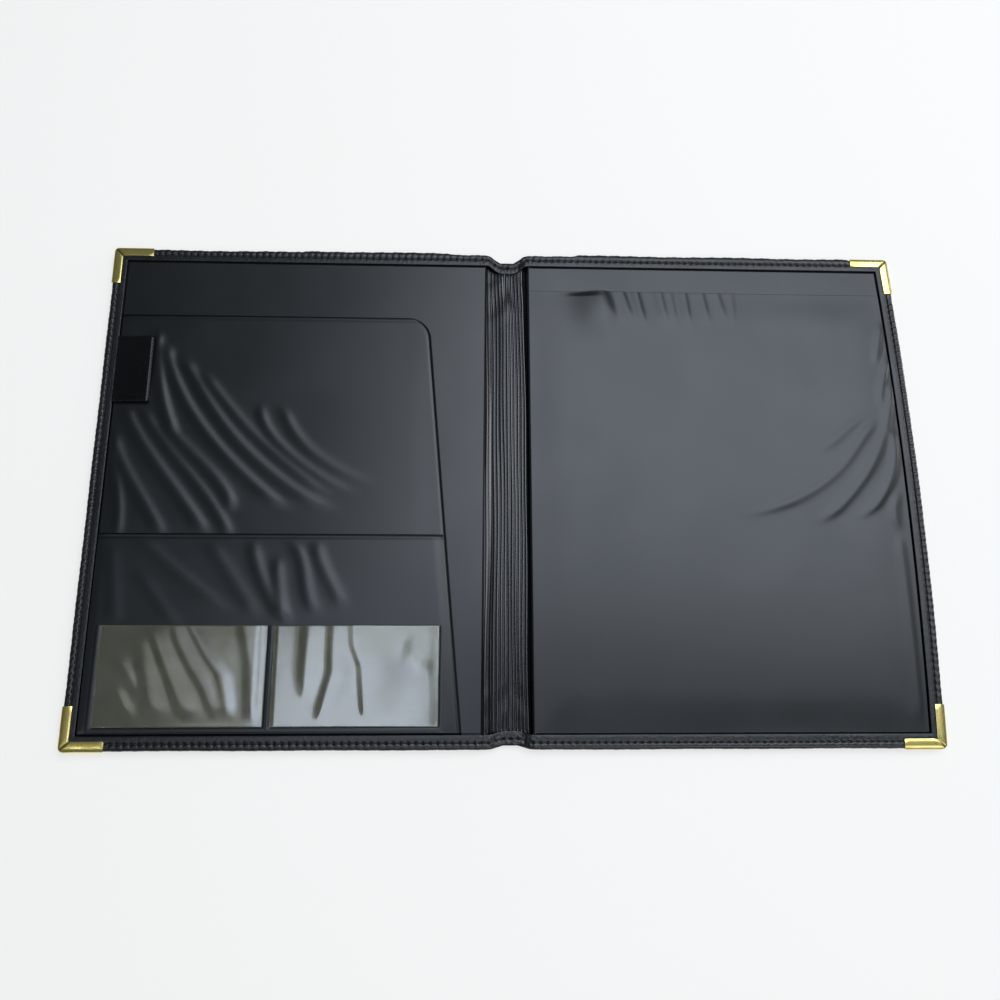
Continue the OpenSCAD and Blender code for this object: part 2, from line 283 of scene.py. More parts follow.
def gilt_steel():
    """Stamped sheet steel with a pale gold plating, tumbled to a satin finish.

    It has a bright, slightly brushed sheen, and darker, duller patches where it has been handled. The
    open mitre between its two flaps is painted dark, as painted shade.
    """
    made, tree, shader, place = material("pale_gold_plated_steel", Metallic=1.0)
    at = (place, "Object")
    handled = node(tree, "TexNoise", {"Vector": at, "Scale": per_mm(12.0), "Detail": 1.0})
    scratch = node(tree, "TexNoise", {"Vector": at, "Scale": per_mm(0.8), "Detail": 2.0})
    ramp = shades(tree, (handled, "Fac"), 0.3, 0.65, "#cfbb6e", "#ecdc8c")
    gloss = node(tree, "MapRange", {
        "Value": (handled, "Fac"), "From Min": 0.3, "From Max": 0.7, "To Min": 0.32, "To Max": 0.22,
    })
    fine = node(tree, "Bump", {"Height": (scratch, "Fac"), "Strength": 0.06, "Distance": 0.00004})
    # Painted shade: the rim darkens the mitre.
    rim = node(tree, "Attribute", attribute_name="rim")
    mitre_shade = node(tree, "MapRange", {"Value": (rim, "Fac"), "To Min": 1.0, "To Max": 0.06})
    colour = node(tree, "HueSaturation", {"Color": (ramp, "Color"), "Value": (mitre_shade, "Result")})
    tree.links.new(colour.outputs["Color"], shader.inputs["Base Color"])
    tree.links.new(gloss.outputs["Result"], shader.inputs["Roughness"])
    tree.links.new(fine.outputs["Normal"], shader.inputs["Normal"])
    return made


def bonded_thread():
    """Black polyester thread, twisted and bonded. It is matt, with strands 0.5 mm apart whose tops carry
    painted highlights.
    """
    made, tree, shader, place = material("bonded_polyester_thread", IOR=1.5, Roughness=0.55)
    at = (place, "Object")
    strand = node(tree, "TexNoise", {"Vector": at, "Scale": per_mm(0.5), "Detail": 2.0})
    # Painted highlights: the colour is lighter where the strands stand up.
    ramp = shades(tree, (strand, "Fac"), 0.35, 0.65, "#0b0c0e", "#24272c")
    twist = node(tree, "Bump", {"Height": (strand, "Fac"), "Strength": 0.4, "Distance": 0.0001})
    tree.links.new(ramp.outputs["Color"], shader.inputs["Base Color"])
    tree.links.new(twist.outputs["Normal"], shader.inputs["Normal"])
    return made


def binders_board():
    """Pressed grey board of waste paper. It is matt, with light and dark fibres about 2 mm long."""
    made, tree, shader, place = material("pressed_grey_board", Roughness=0.9)
    at = (place, "Object")
    fibre = node(tree, "TexNoise", {"Vector": at, "Scale": per_mm(2.0), "Detail": 6.0, "Roughness": 0.7})
    ramp = shades(tree, (fibre, "Fac"), 0.35, 0.65, "#7d7869", "#a19b8b")
    felt = node(tree, "Bump", {"Height": (fibre, "Fac"), "Strength": 0.4, "Distance": 0.0002})
    tree.links.new(ramp.outputs["Color"], shader.inputs["Base Color"])
    tree.links.new(felt.outputs["Normal"], shader.inputs["Normal"])
    return made


def open_cell_foam():
    """Polyurethane foam sheet, slit from a block. It is pale and matt, with open pores of 1.2 mm painted
    darker, as painted shade.
    """
    made, tree, shader, place = material("slit_polyurethane_foam", Roughness=0.95)
    at = (place, "Object")
    pore = node(tree, "TexVoronoi", {"Vector": at, "Scale": per_mm(1.2)})
    # Painted shade: the pores are darker than the foam between them.
    ramp = shades(tree, (pore, "Distance"), 0.1, 0.6, "#b5b2a4", "#e0ddd2")
    pit = node(tree, "Bump", {"Height": (pore, "Distance"), "Strength": 0.5, "Distance": 0.0003})
    tree.links.new(ramp.outputs["Color"], shader.inputs["Base Color"])
    tree.links.new(pit.outputs["Normal"], shader.inputs["Normal"])
    return made


LEATHER = pebbled_leatherette("pebbled_pvc_leatherette", "#050607", "#101215", 0.3, 0.4, 0.3, 1.54)
# The pen loop's copy of the leatherette is darker in colour, as painted shade, and its lower IOR gives it
# less sheen.
LOOP_STRIP = pebbled_leatherette("matt_pvc_leatherette_painted_shade", "#020303", "#050606", 0.24, 0.3, 0.2, 1.36)
LINING = calendered_vinyl("satin_calendered_vinyl", "#0a0f11", "#0f1417", 0.29, 0.34, 1.52)
RIBBED = calendered_vinyl("ribbed_calendered_vinyl", "#090a0c", "#0f1113", 0.19, 0.24, 1.62)
FILM = clear_vinyl_film()
GILT = gilt_steel()
THREAD = bonded_thread()
BOARD = binders_board()
FOAM = open_cell_foam()


# Skin, hem and padding


def edge_height(x, end=1):
    """How far the top or bottom edge is from the middle: least at the spine, then rising in an S."""
    spine = np.where(np.asarray(end) > 0, TOP_SPINE, FOOT_SPINE)
    return spine + (HALF_H - spine) * ease(3.0, X_IN + 0.5, x)


def along_top():
    """Places along the top edge, a few to each stitch, up to the corner."""
    run = np.arange(TOP_STITCHES * PER_STITCH + 1) * STITCH / PER_STITCH
    return np.concatenate([run, np.linspace(run[-1], X_OUT - CORNER_R, PER_STITCH + 1)[1:]])


def along_side():
    """Fractions of the half height from the top to the bottom of the outer edge, a few to each stitch."""
    return np.linspace(1, -1, PER_STITCH * SIDE_STITCHES + 1)


def edge_lines(inset):
    """The edge of half the folder, from mid-spine round the cover to mid-spine, moved in by each inset.

    Corners are arcs that shrink with the inset down to a mitre. Also gives the place along the seam,
    counted in stitches, and the distance from the corner.
    """
    inset = np.asarray(inset, float)[:, None]
    r = np.maximum(CORNER_R - inset, 0)
    cx, cy = X_OUT - inset - r, HALF_H - inset - r
    xt, v = along_top(), along_side()
    top_x = xt + (cx - xt[-1]) * ease(X_OUT - 40, xt[-1], xt)
    top_y, foot_y = edge_height(xt) - inset, edge_height(xt, -1) - inset
    turn = np.radians(np.linspace(90, 0, ARC_STEPS + 2)[1:-1])
    arc_x, arc_y = cx + r * np.cos(turn), cy + r * np.sin(turn)
    side_x, side_y = X_OUT - inset + 0 * v, cy * v
    x = np.concatenate([top_x, arc_x, side_x, arc_x[:, ::-1], top_x[:, ::-1]], 1)
    y = np.concatenate([top_y, arc_y, side_y, -arc_y[:, ::-1], -foot_y[:, ::-1]], 1)
    far = np.full(len(turn), 0.5)
    seam = np.concatenate([xt / STITCH, far, SIDE_STITCHES * (1 - v) / 2, far, xt[::-1] / STITCH])
    corner = np.concatenate([X_OUT - xt, 0 * far, HALF_H * (1 - np.abs(v)), 0 * far, (X_OUT - xt)[::-1]])
    return x, y, seam, corner


def thinned():
    """Which place along the edge stands for each place where the edge meets the coarser field.

    It is every third one, and every one near the fold. Also gives those along the top and the side.
    """
    n_top, n_side = len(along_top()), len(along_side())
    i = np.arange(n_top)
    top = np.where(i <= FOLD_PLACES, i, FIELD_STEP * np.round(i / FIELD_STEP)).astype(int)
    side = FIELD_STEP * np.round(np.arange(n_side) / FIELD_STEP).astype(int)
    corner = np.full(ARC_STEPS, n_top - 1)
    first = n_top + ARC_STEPS
    last = first + n_side + ARC_STEPS
    ring = [top, corner, first + side, corner * 0 + last, last + n_top - 1 - top[::-1]]
    return np.concatenate(ring), top, side


def hem_height(x):
    """The hem's height: low across the spine, then rising in an S to the cover."""
    return Z_SPINE_HEM + (Z_HEM - Z_SPINE_HEM) * ease(6.0, X_IN, x)


def hem_profile():
    """The hem's section: inset from the edge, level from 0 underneath to 1 on top, and a rise in mm.

    It starts on the lining, crosses the hem and the sunk seam, rolls over the edge, and goes back
    underneath as far as the lower thread.
    """
    return np.array([
        (8.5, 1, -0.8), (8.6, 1, -0.45), (8.5, 1, -0.14), (8.2, 1, 0.0), (7.6, 1, 0.06), (6.7, 1, 0.09),
        (5.8, 1, 0.08), (5.2, 1, 0.06), (4.7, 1, 0.02), (4.45, 1, -0.1), (4.28, 1, -0.38), (4.1, 1, -0.55),
        (3.92, 1, -0.38), (3.75, 1, 0.0), (3.45, 1, 0.16), (2.8, 1, 0.22), (2.0, 1, 0.24), (1.3, 1, 0.15),
        (0.7, 1, -0.12), (0.28, 0.86, -0.1), (0.06, 0.68, 0), (0, 0.5, 0), (0.06, 0.37, 0), (0.35, 0.18, 0),
        (0.9, 0, 0.3), (1.7, 0, 0.06), (2.8, 0, -0.02), (3.6, 0, 0.1), (4.1, 0, 0.28), (4.5, 0, 0.1),
        (5.0, 0, 0), (5.8, 0, 0),
    ]).T


def skin(side):
    """The leatherette of one cover and half the spine: hem_profile carried along edge_lines.

    The seam is a narrow groove. Each stitch hole is a pit in it that notches the roll beyond. Along the
    top and bottom edges the groove is shallower, the pits are deeper and the roll is smoother.
    The field inside is a coarser grid that is flat where it rests, with foam-filled shoulders: it drops
    from the border by an S curve of the distance from the nearest edge.
    """
    inset, level, rise = hem_profile()
    x, y, seam, corner = edge_lines(inset)
    stands_for, top_places, side_places = thinned()
    inset, level, rise = inset[:, None], level[:, None], rise[:, None]
    upper = level > 0.5
    on_top = np.where(upper, 1.0, -1.0)
    z = Z_EDGE + (hem_height(x) - Z_EDGE) * level + rise
    z[0] = np.where(x[0] < X_IN + 0.6, Z_GUSSET - 0.1, Z_FACE)
    sewn = ease(BRASS_LEG, BRASS_LEG + 2, corner)
    from_hole = (seam - np.round(seam)) * STITCH
    calm = np.abs(y) > HALF_H - CALM_W
    groove = calm & upper & (np.abs(inset - SEAM) < 0.4)
    z -= 0.5 * sewn * np.where(groove, rise, 0)
    pit = bell(from_hole, 0.62) * bell(inset - SEAM, np.where(calm, 0.75, 0.6))
    z -= sewn * on_top * np.where(calm, 0.85, 0.5) * pit
    bead = (0.36 - bell(from_hole, 0.8)) * bell(inset - 2.5, 1.1)
    z += sewn * on_top * np.where(calm, 0.2, 0.62) * bead
    crumple = ease(24, 14, x) * np.sin(x * 1.9 + y * 0.7) * np.sin(x * 0.6 - y * 1.3 + 1)
    z += 0.22 * crumple * (level > 0.9) * ease(8.6, 7.6, inset)
    to_side = ease(0.0, 6.0, X_OUT - 3 - x)
    wavy = 0.22 * np.sin(0.31 * seam) + 0.15 * np.sin(2.1 * seam + 1.3 * np.sin(0.37 * seam))
    wavy = wavy * (0.4 + 0.6 * to_side)
    start, stop = FLARE[side]
    flare = ease(start, start + 3, x) * ease(stop, stop - 3, x) * (y > 0)
    pull = sewn * (0.2 * bell(from_hole, 0.9) + wavy - 0.8 * flare) * bell(inset, 1.7)
    pull = pull * np.where(y < CALM_W - HALF_H, 0.4, 1.0)
    y -= np.sign(y) * pull * to_side
    x -= pull * (1 - to_side)
    x[-1], y[-1], z[-1] = x[-1, stands_for], y[-1, stands_for], Z_EDGE
    ring = stack(x, y, z)

    every_x, every_y = np.unique(top_places), np.unique(side_places)
    fx = x[-1][every_x][None, :]
    share = along_side()[every_y][:, None]
    edge = edge_height(along_top()[every_x][None, :], share)
    fy = share * (edge - UNDER_W)
    inner = np.minimum(X_OUT - BORDER_W - fx, edge - BORDER_W - np.abs(fy))
    swell = ease(0, SLOPE_W, inner) * ease(19.0, 31.0, fx)
    dimple = 0.1 + 0.06 * np.sin(fx / 19 + 1.3 * np.sin(fy / 31)) * np.sin(fy / 23 + 0.7)
    fz = Z_EDGE - (Z_EDGE - dimple * ease(14, 40, inner)) * swell
    fold_line = 0.5 * bell(fx - X_FOLD, 1.3) - 0.25 * ease(7, 0, fx)
    fz = fz + fold_line * ease(-9, -2, inner + 2 * ease(20, 30, fx))
    field = stack(fx, fy, fz)

    # Painted shade: the hem's inner edge, which drops into the groove by the lining, is marked to be painted
    # dark.
    hem_edge_shade_mask = np.broadcast_to(upper * ease(8.1, 8.4, inset), x.shape)
    hem_edge_shade_mask = np.concatenate([hem_edge_shade_mask.ravel(), np.zeros(fz.size)])
    grids = [(ring, True), (field, True)]
    return piece(f"{COVER[side]}_cover_skin", side, grids, LEATHER, merge=0.01, rim=hem_edge_shade_mask)


def foam_pad(side):
    """The foam under the skin: a closed cushion whose faces meet in a thin, rounded rim."""
    u, v = np.meshgrid(np.linspace(-1, 1, 61), np.linspace(-1, 1, 81))
    half_w = (FOAM_OUT - FOAM_IN) / 2
    inner = np.minimum((1 - np.abs(u)) * half_w, (1 - np.abs(v)) * FOAM_HALF_H)
    under = Z_FOAM - 1.6 * ease(0, SLOPE_W, inner)
    over = np.where(inner < 1e-6, Z_FOAM, Z_FOAM + 0.17)
    x, y = (FOAM_IN + FOAM_OUT) / 2 + half_w * u, FOAM_HALF_H * v
    grids = [(stack(x, y, under), True), (stack(x, y, over), False)]
    return piece(f"{COVER[side]}_foam_pad", side, grids, FOAM, merge=0.01)


# Linings, gusset and pockets


def face_height(x):
    """The lining's height: a quarter ellipse over the board's spine edge, then level."""
    past = np.clip((X_IN + 1.5 - x) / 1.6, 0, 1)
    return Z_GUSSET + (Z_FACE - Z_GUSSET) * np.sqrt(1 - past ** 2)


def marks(low, high, step, fine=()):
    """Evenly spaced places from low to high, closer together around each fine place."""
    even = np.linspace(low, high, int((high - low) / step) + 1)
    close = [np.linspace(max(p - 2.4, low), min(p + 2.4, high), 21) for p in fine]
    return np.unique(np.concatenate([even, *close]).round(4))


def from_hem(x, y):
    """How far a point is inside the hem's inner edge."""
    return np.minimum(X_OUT - HEM_W - x, HALF_H - HEM_W - np.abs(y))


def tucked(z, x, y):
    """A panel's height, sunk into a narrow groove where the panel goes under the hem."""
    return z + (Z_FACE - 0.35 - z) * ease(1.05, 0.4, from_hem(x, y))


def lining(side):
    """A cover's vinyl lining: flat, rolled down over the board's spine edge, and tucked under the hem."""
    roll = X_IN + 1.5 - 1.6 * np.cos(np.radians(np.linspace(0, 90, 12)))
    flat = marks(X_IN + 2, X_TUCK, 3.0, (X_OUT - HEM_W - 1,))
    x = np.concatenate([roll[:1], roll, flat])
    y = marks(Y_TUCK, -Y_TUCK, 3.0, (HEM_W - HALF_H + 1, HALF_H - HEM_W - 1))[:, None]
    slack = ease(19, 40, x) * (0.1 * np.sin(x / 27 + y / 41) * np.sin(y / 33 + 0.5) - 0.1)
    z = face_height(x) + slack
    z = np.where(x > X_IN + 1.7, tucked(z, x, y), z)
    z[:, 0] = Z_GUSSET - 1.0
    grids = [(stack(x, y, z), False)]
    return piece(f"{COVER[side]}_cover_lining", side, grids, LINING, thick=LINING_T)


def gusset(side):
    """Half of the ribbed strip over the spine: rounded ribs on a slack base, from mid-spine outwards.

    Columns of points follow the ribs, which wander sideways and sink here and there. The front half climbs
    on to the front cover's lining and laps it, more towards the foot. The back half drops into a crevice
    beside the back cover. The crevice, the edge of the lap and the ends under the hem are painted dark, as
    painted shade.
    """
    across = np.linspace(0, 1, 115)[None, :]
    top = edge_height(X_IN * across) - GUSSET_INSET
    foot = GUSSET_INSET - edge_height(X_IN * across, -1)
    down = np.linspace(1, 0, 190)[:, None]
    y = top + (foot - top) * down
    under_hem = ease(0, 2.2, np.minimum(top - y, y - foot))
    if side < 0:
        reach = X_IN + 1.4 + 2.7 * down
        line = 1.2 + 0.6 * down
        rib_at = across * 7
        away = reach * (1 - across)
        q = reach * across
        climb = ease(X_IN - 2.4, X_IN + 0.3, q) * (Z_FACE + 0.1 - Z_GUSSET)
        base = np.interp(across, (0, 0.22, 0.66, 0.8), (0.3, 0.4, -0.5, 0.0)) + climb
        base = base - 0.06 * ease(line, line - 0.3, away)
        tall = (0.85 - 0.25 * ease(0.7, 0.85, across)) * ease(line, line + 0.4, away)
        crevice_and_lap_shade = ease(line + 0.35, line, away)
    else:
        q = (X_IN + 0.2) * across + 0 * y
        rib_at = q / RIB_PITCH
        away = X_IN - q
        base = np.interp(q, (0, 10.9, 11.9, X_IN), (0.3, 0.3, -0.95, 0.35))
        tall = ease(11.6, 11.2, q)
        crevice_and_lap_shade = ease(11.3, 11.9, q)
    nth = np.round(rib_at)
    rib = np.sqrt(np.maximum(1 - (np.abs(rib_at - nth) / 0.38) ** 2.5, 0))
    loose = ease(0, 2.5, q) * ease(0, 2.5, away)
    drift = 0.35 * np.sin(y / 41 + side) + 0.22 * np.sin(y / 17 + 2 * side + q / 4)
    drift = drift - 0.9 * side * ease(112, 146, y)
    tall = under_hem * tall * (1 + 0.14 * np.sin(1.9 * nth + y / 47) + 0.1 * np.sin(y / 21 + 2.3 * nth))
    dents = ease(104, 118, y) * ease(146, 134, y) + 0.5 * ease(-118, -130, y) * ease(-146, -136, y)
    crumple = 0.3 * np.sin(y / 4.5 + q / 3 - 0.5 * side) * dents
    swell = 0.1 * np.sin(q / 2.9 + y / 71) + 0.2 * np.sin(side * q / 1.75 + y / 90 + 0.8)
    z = Z_GUSSET + base + (crumple + swell) * ease(0.5, 3, away) + 0.8 * tall * rib
    # Painted shade: the crevice, the lap's edge and the ends under the hem are marked to be painted dark.
    painted_shade = np.maximum(crevice_and_lap_shade, 1 - under_hem)
    grids = [(stack(q + drift * loose, y, z), False)]
    return piece(f"{COVER[side]}_half_gusset", side, grids, RIBBED, rim=painted_shade)


def fold(x, y, line, width, height, fade=7.0, skew=1.0):
    """A soft ridge along a smooth line, fading out at both ends.

    The line's place across is a polynomial of the place along Y through a few points. The ridge is a
    bell curve of the distance from it, taken square to the line, and wider on its right by the skew.
    """
    at, along = np.array(line, float).T
    course = np.polyfit(along, at, min(3, len(line) - 1))
    lean = np.polyval(np.polyder(course), y)
    off = (x - np.polyval(course, y)) / np.sqrt(1 + lean ** 2)
    start = ease(along.min() - 0.6 * fade, along.min() + fade, y)
    stop = ease(along.max() + 0.6 * fade, along.max() - fade, y)
    return height * start * stop * bell(off, np.where(off > 0, width * skew, width))


def slant(y):
    """Where the document pocket's slanted side is at each height."""
    return SLANT_FOOT + SLANT_RISE * (y - Y_FOOT)


def free_rim(away):
    """The pressed lip along a pocket's free edge: a small bead and a shallow groove behind it."""
    return 0.1 * bell(away - 0.6, 0.5) - 0.2 * bell(away - 1.8, 0.75)


# Folds in the pocket panels, each as points (across, along) in millimetres, half width and height
DOCUMENT_FOLDS = [
    ([(222, 99), (218.5, 74), (212.5, 48), (206, 32)], 3.6, 1.1),
    ([(209, 35), (199, 24), (186, 11), (175, -1), (168, -16)], 3.6, 0.85),
    ([(215, 90), (211, 75), (197, 47), (177, 22), (154, -2), (139, -14)], 3.6, 1.05),
    ([(204, 81), (187, 52), (166, 28), (142, 3), (114, -15)], 3.8, 1.02),
    ([(190, 71), (173, 48), (151, 26), (130, 6), (114, -5)], 3.2, 0.71),
    ([(154, 49), (150, 37), (130, 15), (102, -4)], 3.0, 0.61),
    ([(140, 48), (135, 37), (116, 16), (92, 2)], 3.4, 0.51),
    ([(237, 49), (222, 22), (204, -2), (183, -31)], 4.0, 1.05),
    ([(226, 47), (208, 21), (188, -2), (173, -24), (168, -33)], 3.4, 0.77),
    ([(242, 31), (230, 3), (214, -22), (208, -33)], 3.8, 0.88),
    ([(239, 9), (236, -6), (234, -22), (234, -33)], 3.0, 0.68),
    ([(246, 40), (243, 20), (241, 0)], 2.6, 0.51),
]
LOWER_FOLDS = [
    ([(218, -56), (203, -76), (195, -86)], 4.0, 0.41),
    ([(220, -35), (204, -49), (188, -62), (170, -76)], 4.2, 0.68),
    ([(178, -38), (168, -53), (159, -66), (150, -80)], 4.4, 0.49),
    ([(153, -38), (149, -53), (142, -68), (133, -84)], 3.8, 0.62),
    ([(138, -48), (136, -65), (131, -84)], 3.4, 0.57),
    ([(129, -38), (123, -50), (120, -65), (114, -80)], 3.6, 0.57),
    ([(115, -38), (112, -50), (106, -62), (99, -76)], 3.8, 0.54),
    ([(236, -40), (233, -60), (230, -84)], 4.4, 0.35),
]
PAD_FOLDS = [
    ([(222, 47), (210, 36), (197, 24)], 3.0, 0.55),
    ([(230, 43), (222, 33), (215, 23), (205, 13), (196, 2), (181, -6), (157, -17)], 3.0, 0.66),
    ([(243.2, 70), (242, 60), (239.6, 46), (231, 27), (221.5, 9), (213, -2), (202.5, -14), (194, -21)],
     3.0, 0.8),
    ([(240.6, 38), (240, 26), (238, 10), (235, 2), (228, -6), (219, -18)], 2.8, 0.78),
    ([(239, -5), (236, -19), (237, -26)], 2.6, 0.62),
    ([(237.2, -34), (238, -70), (238.6, -106), (239.2, -142)], 2.6, 0.45),
    ([(243, 111), (236, 84)], 2.2, 0.6),
    ([(244, 88), (241.2, 78), (237.3, 66), (236.3, 54)], 2.2, 0.8),
]
MOUTH_RIPPLES = [
    ([(59.8, 140), (69.3, 112)], 6.6, 0.55),
    ([(72.7, 140), (81, 110)], 5.1, 0.9),
    ([(82.9, 140), (88.8, 109)], 4.4, 0.8),
    ([(98.7, 140), (103.6, 110)], 4.4, 0.7),
    ([(106, 140), (109.8, 109)], 3.3, 0.42),
    ([(115.4, 140), (118.4, 110)], 4.0, 0.62),
    ([(126.4, 140), (131, 111)], 4.0, 0.52),
    ([(135.8, 140), (142.9, 111)], 4.0, 0.44),
    ([(147.4, 140), (147.6, 111)], 3.6, 0.34),
]
MOUTH_GAPE = ([(59, 142), (62, 100)], 16.0, 2.5)
MOUTH_SKEW = 0.55


def document_pocket():
    """The large pocket of the front cover: rows across it, from under the hem to its slanted side.

    Its top corner is an arc. The panel rises from the welded sides, and slack folds cross it.
    """
    turn = np.radians(np.linspace(5, 90, 16))
    rows = marks(Y_TUCK, Y_MOUTH - DOC_R, 1.6, (HEM_W - HALF_H + 1,))
    y = np.concatenate([rows, Y_MOUTH - DOC_R + DOC_R * np.sin(turn)])
    arc_lean = 1.0036
    mid = slant(Y_MOUTH - DOC_R) + DOC_R * arc_lean
    bend = np.sqrt(np.maximum(DOC_R ** 2 - np.maximum(y - Y_MOUTH + DOC_R, 0) ** 2, 0))
    edge = np.where(y > Y_MOUTH - DOC_R + 1.3, mid - bend, slant(y))
    middle = np.linspace(0.016, 0.97, 145)
    t = np.concatenate([np.linspace(0, 0.016, 10), middle[1:], np.linspace(0.97, 1, 14)[1:]])
    y = y[:, None]
    x = X_TUCK + (edge[:, None] - X_TUCK) * t
    weld = np.minimum(X_TUCK - x, y - Y_TUCK)
    slack = sum(fold(x, y, *ridge) for ridge in DOCUMENT_FOLDS)
    by_loop = ease(LOOP_FOOT - 6, LOOP_FOOT, y) * ease(LOOP_TOP + 6, LOOP_TOP, y)
    slack = slack * (1 - by_loop * ease(LOOP_IN - 2.2, LOOP_IN + 0.4, x))
    z = Z_DOC - 0.35 * ease(8, 1, weld) + slack * ease(1, 6, weld)
    z = z + 0.12 * np.sin(x / 31 + y / 47) * ease(4, 20, x - edge[:, None])
    away = np.minimum(x - edge[:, None], Y_MOUTH - y)
    z = tucked(z + free_rim(away), x, y)
    # Painted shade: a narrow dark band along the mouth and the slanted side, standing for the shade at the
    # lip.
    painted_shade = bell(away - 0.5, 0.8)
    grids = [(stack(x, y, z), True)]
    return piece("document_pocket_panel", -1, grids, LINING, thick=PANEL_T, rim=painted_shade)


def lower_pocket():
    """The low pocket on the document pocket: a panel with soft folds that lean towards its outer side."""
    y = marks(Y_TUCK, Y_LOWER, 1.4, (HEM_W - HALF_H + 1, Y_LOWER - 2))[:, None]
    edge = slant(y) + 2
    t = np.concatenate([np.linspace(0, 0.016, 10), np.linspace(0.016, 1, 140)[1:]])
    x = X_TUCK + (edge - X_TUCK) * t
    deep = Y_LOWER - y
    weld = np.minimum(np.minimum(X_TUCK - x, y - Y_TUCK), x - edge)
    slack = sum(fold(x, y, *ridge) for ridge in LOWER_FOLDS)
    z = Z_LOWER - 0.45 * ease(6, 1, weld) + slack * ease(1, 6, weld) * ease(1, 6, deep)
    z = tucked(z + free_rim(deep), x, y)
    # Painted shade: two dark lines along the mouth, standing for the shade at the lip.
    painted_shade = np.maximum(bell(deep - 0.4, 0.7), 0.35 * bell(deep - 3.0, 0.6)) + 0 * x
    grids = [(stack(x, y, z), True)]
    return piece("lower_pocket_panel", -1, grids, LINING, thick=PANEL_T, rim=painted_shade)


def pad_pocket():
    """The wide pocket of the back cover: a nearly flat panel that sinks to the lining at its edges.

    Short ripples stand at its mouth, which gapes and turns its lip down near the spine. A few slack
    folds run towards its outer side. Points are closer together where the folds and ripples are.
    """
    spine_x = X_IN + 0.35
    folds_y, lip_x = -33, 50
    foot = marks(Y_TUCK, folds_y, 3.0, (HEM_W - HALF_H + 1,))
    y = np.union1d(foot, marks(folds_y, Y_PAD, 1.6, (Y_PAD - 2,)))[:, None]
    near = marks(spine_x, lip_x, 2.4, (spine_x + 0.8, spine_x + 4))
    rippled = np.arange(50.8, 154.0, 0.8)
    far = marks(155, X_TUCK, 1.5, (X_OUT - HEM_W - 1,))
    x = np.concatenate([near, rippled, far])
    deep = Y_PAD - y
    weld = np.minimum(np.minimum(X_TUCK - x, y - Y_TUCK), np.minimum(x - spine_x, deep))
    z = face_height(x) + 0.16 + 0.45 * ease(0, 24, weld)
    slack = sum(fold(x, y, *ridge) for ridge in PAD_FOLDS)
    ripple = sum(fold(x, y, *ridge, fade=9.0, skew=MOUTH_SKEW) for ridge in MOUTH_RIPPLES)
    gape = fold(x, y, *MOUTH_GAPE, fade=20.0, skew=MOUTH_SKEW)
    lip = -0.75 * ease(4.4, 0.3, deep) * bell(x - lip_x, 9.0)
    z = z + slack + ripple + gape + lip + 0.1 * np.sin(x / 37 + y / 53) * ease(4, 20, weld)
    z = tucked(z, x, y)
    return piece("pad_pocket_panel", 1, [(stack(x, y, z), False)], LINING, thick=PAD_T)


def crease(u, v, taper, line, left, right, height):
    """A soft ridge along a line of (across, down) points of a window, fading out at both its ends.

    Its section is two half bell curves of the given widths in millimetres, smaller towards the foot by
    the taper.
    """
    at, down = np.array(line).T
    size = 1 - taper * ease(0.3, 1.0, v)
    off = (u - np.interp(v, down, at)) * WINDOW_W / size
    ends = ease(down[0] - 0.08, down[0] + 0.08, v) * ease(down[-1] + 0.1, down[-1] - 0.22, v)
    return height * size * bell(off, np.where(off < 0, left, right)) * ends


# Lines of the ridges in each card window, as shares across from its outer side and down from its top
OUTER_RIDGES = [
    ([(0.235, 0.1), (0.295, 0.53), (0.36, 0.97)], 3.0, 8.0, 0.34),
    ([(0.3, 0.0), (0.405, 0.41), (0.465, 0.63), (0.56, 0.97)], 2.6, 8.0, 0.34),
    ([(0.42, -0.1), (0.475, 0.17), (0.557, 0.41), (0.648, 0.63), (0.74, 0.97)], 2.8, 8.0, 0.3),
    ([(0.5, -0.1), (0.645, 0.3), (0.735, 0.5), (0.77, 0.7), (0.8, 0.95)], 3.0, 5.0, 0.24),
    ([(0.12, 0.3), (0.25, 0.68)], 2.5, 4.5, 0.3),
    ([(0.115, 0.6), (0.235, 0.97)], 2.5, 4.5, 0.3),
    ([(0.852, -0.1), (0.917, 0.4), (0.937, 1.0)], 4.4, 30.0, 0.46),
]
INNER_RIDGES = [
    ([(0.22, -0.1), (0.2, 0.7)], 4.6, 9.0, 0.72),
    ([(0.375, -0.1), (0.37, 0.2), (0.372, 0.46), (0.27, 1.05)], 4.8, 13.0, 0.92),
    ([(0.49, -0.1), (0.5, 0.2), (0.548, 0.41), (0.57, 1.1)], 4.2, 22.0, 0.74),
    ([(0.78, 0.12), (0.77, 0.36)], 3.4, 4.4, 0.11),
    ([(0.87, 0.34), (0.9, 0.46)], 4.4, 5.4, 0.22),
]


def card_window(name, span, ridges, lean, taper):
    """A clear film welded down on its sides and foot: a low pillow with ridges along given lines.

    Its spine side sinks by the lean, and its foot turns up a little on the weld.
    """
    u, v = np.meshgrid(np.linspace(0, 1, 150), np.linspace(0, 1, 90))
    x = span[1] + (span[0] - span[1]) * u
    y = CARD_TOP + (CARD_FOOT - CARD_TOP) * v
    outer, spine, foot = u * WINDOW_W, (1 - u) * WINDOW_W, (1 - v) * WINDOW_H
    z = Z_FILM - 0.3 * ease(2.6, 0.4, outer) - lean * ease(6.5, 0.5, spine)
    z = z + 0.03 * np.sin(x / 7 + y / 11) + 0.08 * ease(2.0, 0.4, foot)
    loose = ease(1.0, 7.0, np.minimum(outer, spine)) * ease(1.0, 12.0, foot)
    z = z + loose * sum(crease(u, v, taper, *ridge) for ridge in ridges)
    return piece(name, -1, [(stack(x, y, z), False)], FILM, thick=FILM_T)


